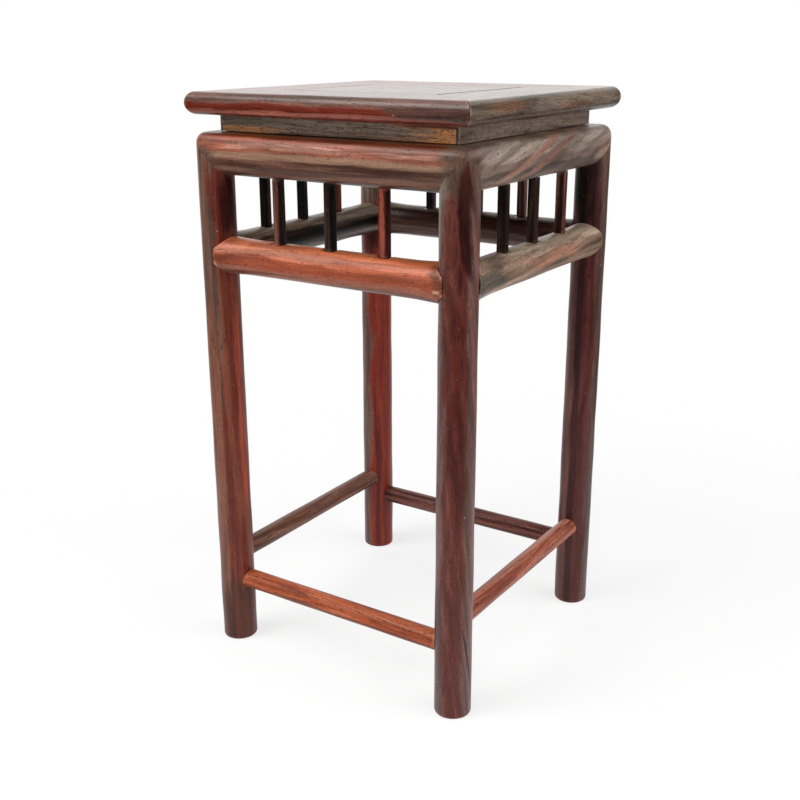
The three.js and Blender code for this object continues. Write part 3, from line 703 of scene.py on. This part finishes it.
UPPER_RAIL_WOODS = {
    "front": dict(dark=(0.04, 0.014, 0.008), mid=(0.14, 0.06, 0.038), pale=(0.22, 0.12, 0.08),
                  fineness=0.6),
    "right": dict(dark=(0.07, 0.048, 0.038), mid=(0.14, 0.096, 0.078), pale=(0.2, 0.142, 0.116),
                  grain=(1, 0, 0.3), fineness=0.5),
    "back": dict(dark=(0.02, 0.004, 0.003), mid=(0.07, 0.02, 0.013), pale=(0.12, 0.045, 0.03)),
    "left": dict(dark=(0.02, 0.004, 0.003), mid=(0.07, 0.02, 0.013), pale=(0.12, 0.045, 0.03)),
}
SALMON = (0.25, 0.13, 0.095)
UPWARDS_LEFT = (-0.3, 0, 0.954)
# Most bands on the upper rails paint light and shade by height: a painted highlight along the front rail's
# shoulder, weaker towards its right, painted shade low down and underneath, and a paler upper band on the
# right rail. The salmon streaks and the brown ends are wood tone.
UPPER_RAIL_TONE_AND_LIGHT_PATCHES = {
    "front": [((0.27, 0.075, 0.038), (UPRIGHT, 156.8, 3.0)),
              ((0.15, 0.05, 0.028), (RIGHTWARDS, 31, 17), (UPRIGHT, 156.8, 3.0)),
              ((0.2, 0.06, 0.035), (RIGHTWARDS, -42, 9), (UPRIGHT, 157, 3.0)),
              ((0.1, 0.02, 0.006), (UPRIGHT, 158.8, 0.7)),
              ((0.44, 0.2, 0.14), (RIGHTWARDS, -6, 24), (UPRIGHT, 156.4, 1.1)),
              ((0.3, 0.13, 0.09), (RIGHTWARDS, 27, 12), (UPRIGHT, 156.2, 0.7)),
              ((0.22, 0.12, 0.075), (UPRIGHT, 153.6, 1.0)), ((0.06, 0.024, 0.016), (UPRIGHT, 147.8, 1.1)),
              (END_BROWN, (RIGHTWARDS, -43, 7), (UPRIGHT, 151.5, 4.6)), (END_BROWN, (RIGHTWARDS, 43, 7))],
    "right": [((0.25, 0.19, 0.155), (UPRIGHT, 156.4, 2.4)), ((0.075, 0.055, 0.043), (UPRIGHT, 150.4, 1.4)),
              ((0.13, 0.09, 0.065), (RIGHTWARDS, -8, 22), (UPRIGHT, 158.7, 0.8)),
              ((0.22, 0.17, 0.138), (RIGHTWARDS, 18, 14), (UPRIGHT, 155.2, 2.0)),
              (SALMON, (UPWARDS_LEFT, 146.3, 1.1)), (SALMON, (UPWARDS_LEFT, 150.0, 1.2)),
              ((0.2, 0.13, 0.095), (RIGHTWARDS, 38, 7), (UPRIGHT, 152.5, 3)),
              (END_BROWN, (RIGHTWARDS, -43, 6))],
    "back": [(OLIVE_HIGHLIGHT, (UPRIGHT, 159.2, 0.9))],
    "left": [(OLIVE_HIGHLIGHT, (UPRIGHT, 159.2, 0.9))],
}

for number, side in enumerate(SIDES):
    node_name = f"upper_rail_{side}"
    planed = hand_planed(depth=0.08, seed=160 + number)
    rings, wear = bar(upper_rail_section(), other_upper_end, upper_end, steps=90, stand_off=planed,
                      start_easing=UPPER_END, end_easing=UPPER_END)
    placed = along_front(round_corners(rings), leg_centre, rail_middle)
    rail = skin(f"{node_name}_bar", on_side(placed, side), wear)
    wood = rosewood(f"{node_name}_wood", side, seed=170 + number, pores=0.14, vein=0.35, gloss=0.24,
                    patches=UPPER_RAIL_TONE_AND_LIGHT_PATCHES[side], **UPPER_RAIL_WOODS[side])
    dress(rail, node_name, wood)


# Waist
# Four thin upright strips set back under the top, mitred at the corners. The wood is left
# unpolished, so its pores show. The side strips run a little past the mitre line.

frame_low, frame_high = cad_corners("top_frame_front")
_, waist_corner = cad_corners("waist_right")
waist_thickness = 2.4
waist_return = 0.7
waist_half = waist_corner.x
gap_below_waist = 0.2
gap_above_waist = 0.12
waist_base = rail_high.z + gap_below_waist
waist_top = frame_low.z - gap_above_waist
waist_axis = waist_half - waist_thickness / 2

WAIST_WOODS = {
    "rosewood_ochre": dict(dark=(0.035, 0.024, 0.014), mid=(0.17, 0.125, 0.085), pale=(0.28, 0.2, 0.14)),
    "rosewood_olive": dict(dark=(0.04, 0.026, 0.018), mid=(0.16, 0.115, 0.085), pale=(0.24, 0.165, 0.125)),
}
OCHRE = (0.5, 0.21, 0.07)
WAIST_PATCHES = {
    "rosewood_ochre": [((0.24, 0.15, 0.1), (UPRIGHT, 160.0, 0.8)),
                       (OCHRE, (RIGHTWARDS, -34, 17), (UPRIGHT, 160.1, 0.9)), (OCHRE, (RIGHTWARDS, 35, 15)),
                       ((0.22, 0.07, 0.035), (RIGHTWARDS, 32, 12), (UPRIGHT, 163.1, 0.7))],
    "rosewood_olive": [],
}

for number, side in enumerate(SIDES):
    shift = waist_return if side in ("right", "left") else -waist_return

    def waist_end(out, up):
        return np.minimum(waist_axis + out + shift, waist_half) - joint_gap

    def other_waist_end(out, up):
        return -waist_end(out, up)

    node_name = f"waist_{side}"
    half_height = (waist_top - waist_base) / 2
    section = eased_box(waist_thickness / 2, half_height, ease=0.15, between=4)
    planed = hand_planed(depth=0.04, seed=190 + number)
    rings, wear = bar(section, other_waist_end, waist_end, steps=40, stand_off=planed)
    placed = along_front(rings, waist_axis, (waist_base + waist_top) / 2)
    strip = skin(f"{node_name}_strip", on_side(placed, side), wear)
    tone = slot_of[node_name]
    wood = rosewood(f"{node_name}_wood", side, seed=200 + number, pores=0.95, rough=0.5,
                    patches=WAIST_PATCHES[tone], **WAIST_WOODS[tone])
    dress(strip, node_name, wood)


# Top frame
# Four flat rails mitred round the panel, with tenons hidden in the mitres. The outer edge is
# rounded over above and drawn in below.

top_half = frame_high.x
top_thickness = frame_high.z - frame_low.z
frame_width = 21.8
edge_top_depth = 2.3
edge_under_depth = 2.8
frame_axis = top_half - frame_width / 2


def frame_section():
    """The outline as (out, up) points, from the underside round the moulded edge."""
    half_width = frame_width / 2
    half = top_thickness / 2
    ease = 0.2
    curve_points, flat_points = 14, 9
    under = np.linspace(-math.pi / 2, 0, curve_points)
    over = np.linspace(0, math.pi / 2, curve_points)[1:]
    flat = np.linspace(-half_width + ease, half_width - edge_under_depth, flat_points)[:-1]
    bottom = np.stack([flat, np.full(len(flat), -half)], 1)
    low_curve = np.stack([half_width + edge_under_depth * (np.cos(under) - 1), half * np.sin(under)], 1)
    high_curve = np.stack([half_width + edge_top_depth * (np.cos(over) - 1), half * np.sin(over)], 1)
    flat = np.linspace(half_width - edge_top_depth, -half_width + ease, flat_points)[1:]
    top = np.stack([flat, np.full(len(flat), half)], 1)
    inner = np.array([(-half_width, half - ease), (-half_width, 0), (-half_width, -half + ease)])
    return np.vstack([bottom, low_curve, high_curve, top, inner])


def frame_end(out, up):
    return frame_axis + out - joint_gap


def other_frame_end(out, up):
    return -frame_end(out, up)


FRAME_WOODS = {
    "front": dict(dark=(0.04, 0.007, 0.004), mid=(0.12, 0.028, 0.017), pale=(0.2, 0.07, 0.045),
                  fineness=0.6),
    "right": dict(dark=(0.04, 0.026, 0.018), mid=(0.13, 0.095, 0.068), pale=(0.21, 0.155, 0.11),
                  wander=12.0, fineness=0.6),
    "back": dict(dark=(0.05, 0.01, 0.007), mid=(0.13, 0.04, 0.028), pale=(0.2, 0.085, 0.065)),
    "left": dict(dark=(0.05, 0.015, 0.011), mid=(0.13, 0.05, 0.038), pale=(0.2, 0.09, 0.07)),
}
# Most bands on the top frame's moulded edge paint light and shade by height: painted highlights along the
# top arris and low on the rounding, and darker painted shade along the underside. The olive-brown patch at
# the right end of the front rail is wood tone.
FRAME_TONE_AND_LIGHT_PATCHES = {
    "front": [((0.11, 0.052, 0.037), (UPRIGHT, 169.6, 2.6)), ((0.11, 0.014, 0.006), (UPRIGHT, 166.4, 1.1)),
              ((0.24, 0.06, 0.035), (UPRIGHT, 165.2, 0.6)), ((0.1, 0.02, 0.012), (UPRIGHT, 164.2, 0.4)),
              ((0.07, 0.03, 0.022), (RIGHTWARDS, 40, 20), (UPRIGHT, 166.9, 2.0)),
              ((0.13, 0.065, 0.045), (UPRIGHT, 170.4, 0.6))],
    "right": [((0.2, 0.1, 0.062), (RIGHTWARDS, -26, 11), (UPRIGHT, 167.8, 1.6)),
              ((0.13, 0.098, 0.076), (RIGHTWARDS, -7, 12), (UPRIGHT, 166.8, 2.6)),
              ((0.16, 0.085, 0.058), (RIGHTWARDS, 14, 13), (UPRIGHT, 166.2, 1.1)),
              ((0.06, 0.033, 0.022), (UPRIGHT, 164.8, 1.0)), ((0.15, 0.095, 0.07), (UPRIGHT, 170.4, 0.8))],
    "back": [],
    "left": [],
}

for number, side in enumerate(SIDES):
    node_name = f"top_frame_{side}"
    planed = hand_planed(depth=0.04, seed=220 + number)
    rings, wear = bar(frame_section(), other_frame_end, frame_end, steps=50, stand_off=planed)
    placed = along_front(rings, frame_axis, (frame_low.z + frame_high.z) / 2)
    rail = skin(f"{node_name}_bar", on_side(placed, side), wear)
    wood = rosewood(f"{node_name}_wood", side, seed=230 + number, pores=0.3, vein=0.4, rough=0.24,
                    gloss=0.26, patches=FRAME_TONE_AND_LIGHT_PATCHES[side], **FRAME_WOODS[side])
    dress(rail, node_name, wood)


# Batten
# One dovetailed batten slid into the underside of the panel keeps it flat. It is stub
# tenoned into the side rails of the frame. It is the CAD node itself.

HIDDEN_WOOD = dict(dark=(0.04, 0.012, 0.01), mid=(0.11, 0.035, 0.026), pale=(0.16, 0.06, 0.045))
batten = frame["nodes"]["panel_batten"]
batten.data.materials.clear()
batten.data.materials.append(rosewood("panel_batten_wood", "front", seed=250, **HIDDEN_WOOD))


# Panel
# One board that floats in the frame, level with its top. A tongue all round it lies in the
# frame's groove, which lets it shrink and swell. A dovetailed groove takes the batten.

panel_low, panel_high = cad_corners("top_panel")
tongue_half = panel_high.x
panel_gap = 0.2
panel_half = top_half - frame_width - panel_gap
tongue_lift = 0.5
tongue_thickness = 1.5
tongue_base = panel_low.z + tongue_lift
tongue_top = tongue_base + tongue_thickness
panel_arris = 0.12
panel_border = 8 * panel_arris
panel_middle = 2
shrinkage = 0.7
panel_profile = [
    (panel_middle, panel_low.z), (panel_half - panel_arris, panel_low.z),
    (panel_half, panel_low.z + panel_arris),
    (panel_half, tongue_base), (tongue_half - panel_arris, tongue_base),
    (tongue_half, tongue_base + panel_arris), (tongue_half, tongue_top - panel_arris),
    (tongue_half - panel_arris, tongue_top), (panel_half, tongue_top),
    (panel_half, panel_high.z - panel_arris), (panel_half - panel_arris, panel_high.z),
    (panel_half - panel_border, panel_high.z), (panel_middle, panel_high.z),
]
upper_face_rings = slice(8, 12)
points_per_side = 12
around_panel = []
for side in SIDES:
    for step in np.linspace(-1, 1, points_per_side, endpoint=False):
        around_panel.append(on_side((step, -1, 0), side))
rings = np.array([np.array(around_panel) * (half, half, 0) + (0, 0, z) for half, z in panel_profile])
upper_face = rings[upper_face_rings]
near_edge = 0.9 * panel_half
upper_face[..., 0] -= np.where(upper_face[..., 0] > near_edge, shrinkage, 0)
panel = skin("top_panel_board", rings, np.zeros(rings.shape[:2]))

groove_depth = 1.1
groove_neck = 2.4
groove_floor = 2.85
groove_section = np.array([
    (-groove_neck, -1), (groove_neck, -1), (groove_neck, 0),
    (groove_floor, groove_depth), (-groove_floor, groove_depth), (-groove_neck, 0),
])
groove_reach = 1.2 * tongue_half
groove_rings = []
for x in (-groove_reach, groove_reach):
    groove_rings.append(np.column_stack([np.full(len(groove_section), x), groove_section]))
groove_rings = np.array(groove_rings) + (0, 0, panel_low.z)
groove = skin("batten_groove", groove_rings, np.zeros(groove_rings.shape[:2]))
cut = panel.modifiers.new("groove", "BOOLEAN")
cut.object = groove
cut.operation = "DIFFERENCE"
board = bpy.data.meshes.new_from_object(panel.evaluated_get(bpy.context.evaluated_depsgraph_get()))
panel.modifiers.clear()
panel.data = board
bpy.data.objects.remove(groove)
PANEL_WOOD = dict(dark=(0.05, 0.02, 0.014), mid=(0.14, 0.07, 0.052), pale=(0.2, 0.12, 0.095))
# A near-black line along the panel's right-hand gap, painted shade in the gap.
GAP_SHADE = ((0.004, 0.002, 0.0015), (RIGHTWARDS, panel_half - shrinkage, 0.75))
wood = rosewood("top_panel_wood", "front", seed=260, grain=(1, 0.05, 0), pores=0.3, vein=0.5,
                rough=0.24, gloss=0.35, patches=[GAP_SHADE], **PANEL_WOOD)
dress(panel, "top_panel", wood)


# Floor
# A plain sheet of white paper under the stand. It keeps the soft shadow near the feet, and
# fades to pure white further out.

floor_reach = 4.0
floor_facets = 64
floor_mesh = bpy.data.meshes.new("floor")
floor_work = bmesh.new()
bmesh.ops.create_circle(floor_work, cap_ends=True, radius=floor_reach, segments=floor_facets)
floor_work.to_mesh(floor_mesh)
floor_work.free()
floor = bpy.data.objects.new("floor", floor_mesh)
bpy.context.collection.objects.link(floor)

WHITE = (1, 1, 1, 1)
floor_white_near = 0.7
floor_near = 0.08
floor_far = 0.32
floor_colour = 0.9


def seen_share(node):
    """1 for what is seen, mirrored or seen through, and 0 for what only gives light."""
    ray = node("LightPath", {}).node.outputs
    seen = node("Math", {0: ray["Is Camera Ray"], 1: ray["Is Glossy Ray"]}, operation="MAXIMUM")
    return node("Math", {0: seen, 1: ray["Is Transmission Ray"]}, operation="MAXIMUM")


paper = bpy.data.materials.new("floor_paper")
paper.use_nodes = True
paper.node_tree.nodes.clear()
node = node_maker(paper.node_tree)
lit = node("BsdfDiffuse", {"Color": (floor_colour, floor_colour, floor_colour, 1)})
glow = node("Emission", {"Color": WHITE, "Strength": 1.0})
distance = node("VectorMath", {0: node("TexCoord", {}, "Object")}, "Value", operation="LENGTH")
fade = node("MapRange", {"Value": distance, "From Min": floor_near, "From Max": floor_far,
                         "To Min": floor_white_near}, interpolation_type="SMOOTHSTEP")
white_share = node("Math", {0: fade, 1: seen_share(node)}, operation="MULTIPLY")
blended = node("MixShader", {0: white_share, 1: lit, 2: glow})
paper.node_tree.nodes.new("ShaderNodeOutputMaterial")
paper.node_tree.links.new(blended, paper.node_tree.nodes["Material Output"].inputs["Surface"])
floor_mesh.materials.append(paper)


# Light
# Five soft lamps, the main one high at the front left, in a white room of low, even light. A
# dark card stands for the unlit room behind the camera, which the waxed wood mirrors.

room_light = 0.25
world = bpy.data.worlds.new("room")
bpy.context.scene.world = world
world.use_nodes = True
node = node_maker(world.node_tree)
room_strength = node("MapRange", {"Value": seen_share(node), "To Min": room_light, "To Max": 1.0})
room = world.node_tree.nodes["Background"]
room.inputs["Color"].default_value = WHITE
world.node_tree.links.new(room_strength, room.inputs["Strength"])
stand_middle = Vector((0, 0, 0.09))


def soft_lamp(name, azimuth, elevation, distance, width, brightness):
    """A square soft lamp that faces the stand. brightness is that of its face, 1 for white."""
    lamp_data = bpy.data.lights.new(name, "AREA")
    lamp_data.shape = "SQUARE"
    lamp_data.size = width
    lamp_data.energy = brightness * math.pi * width**2
    lamp = bpy.data.objects.new(name, lamp_data)
    bpy.context.collection.objects.link(lamp)
    turn = math.radians(azimuth)
    rise = math.radians(elevation)
    towards = Vector((math.cos(turn) * math.cos(rise), math.sin(turn) * math.cos(rise), math.sin(rise)))
    lamp.location = towards * distance + stand_middle
    lamp.rotation_euler = towards.to_track_quat("Z", "Y").to_euler()


soft_lamp("front_left_lamp", azimuth=-128, elevation=38, distance=0.9, width=0.5, brightness=6.2)
soft_lamp("front_lamp", azimuth=-110, elevation=8, distance=1.0, width=0.8, brightness=1.2)
soft_lamp("overhead_lamp", azimuth=-95, elevation=65, distance=0.9, width=0.9, brightness=1.3)
soft_lamp("right_lamp", azimuth=12, elevation=26, distance=0.9, width=0.8, brightness=3.4)
soft_lamp("window_behind", azimuth=123, elevation=26, distance=1.4, width=0.9, brightness=0.6)

card_reach = 0.22
card_height = 0.28
card_start, card_end = -172, 72
card_steps = 60
card_points = []
for azimuth in np.linspace(card_start, card_end, card_steps + 1):
    turn = math.radians(azimuth)
    for height in (0.0, card_height):
        card_points.append((card_reach * math.cos(turn), card_reach * math.sin(turn), height))
card_faces = [(2 * n, 2 * n + 2, 2 * n + 3, 2 * n + 1) for n in range(card_steps)]
card_mesh = bpy.data.meshes.new("dark_card")
card_mesh.from_pydata(card_points, [], card_faces)
card = bpy.data.objects.new("dark_card", card_mesh)
bpy.context.collection.objects.link(card)
card.visible_camera = False
card.visible_diffuse = False
card.visible_shadow = False
card.visible_transmission = False
felt = bpy.data.materials.new("card_felt")
felt.use_nodes = True
felt_shader = felt.node_tree.nodes["Principled BSDF"]
felt_shader.inputs["Base Color"].default_value = (0.01, 0.01, 0.01, 1)
felt_shader.inputs["Specular IOR Level"].default_value = 0.0
card_mesh.materials.append(felt)


# Camera
# A little above the stand's top, looking down on its near corner, with the front at the
# left and the right-hand side at the right.

camera_data = bpy.data.cameras.new("camera")
camera_data.lens = 49.287
camera_data.sensor_width = 36.0
camera = bpy.data.objects.new("camera", camera_data)
bpy.context.collection.objects.link(camera)
camera.location = (0.17628, -0.27537, 0.1849)
look_left = math.radians(33.213)
look_down = math.radians(18.481)
tilt = math.radians(-0.123)
aim = Matrix.Rotation(look_left, 3, "Z") @ Matrix.Rotation(math.pi / 2 - look_down, 3, "X")
camera.rotation_euler = (aim @ Matrix.Rotation(tilt, 3, "Z")).to_euler()
bpy.context.scene.camera = camera
bpy.context.scene.view_settings.view_transform = "Standard"
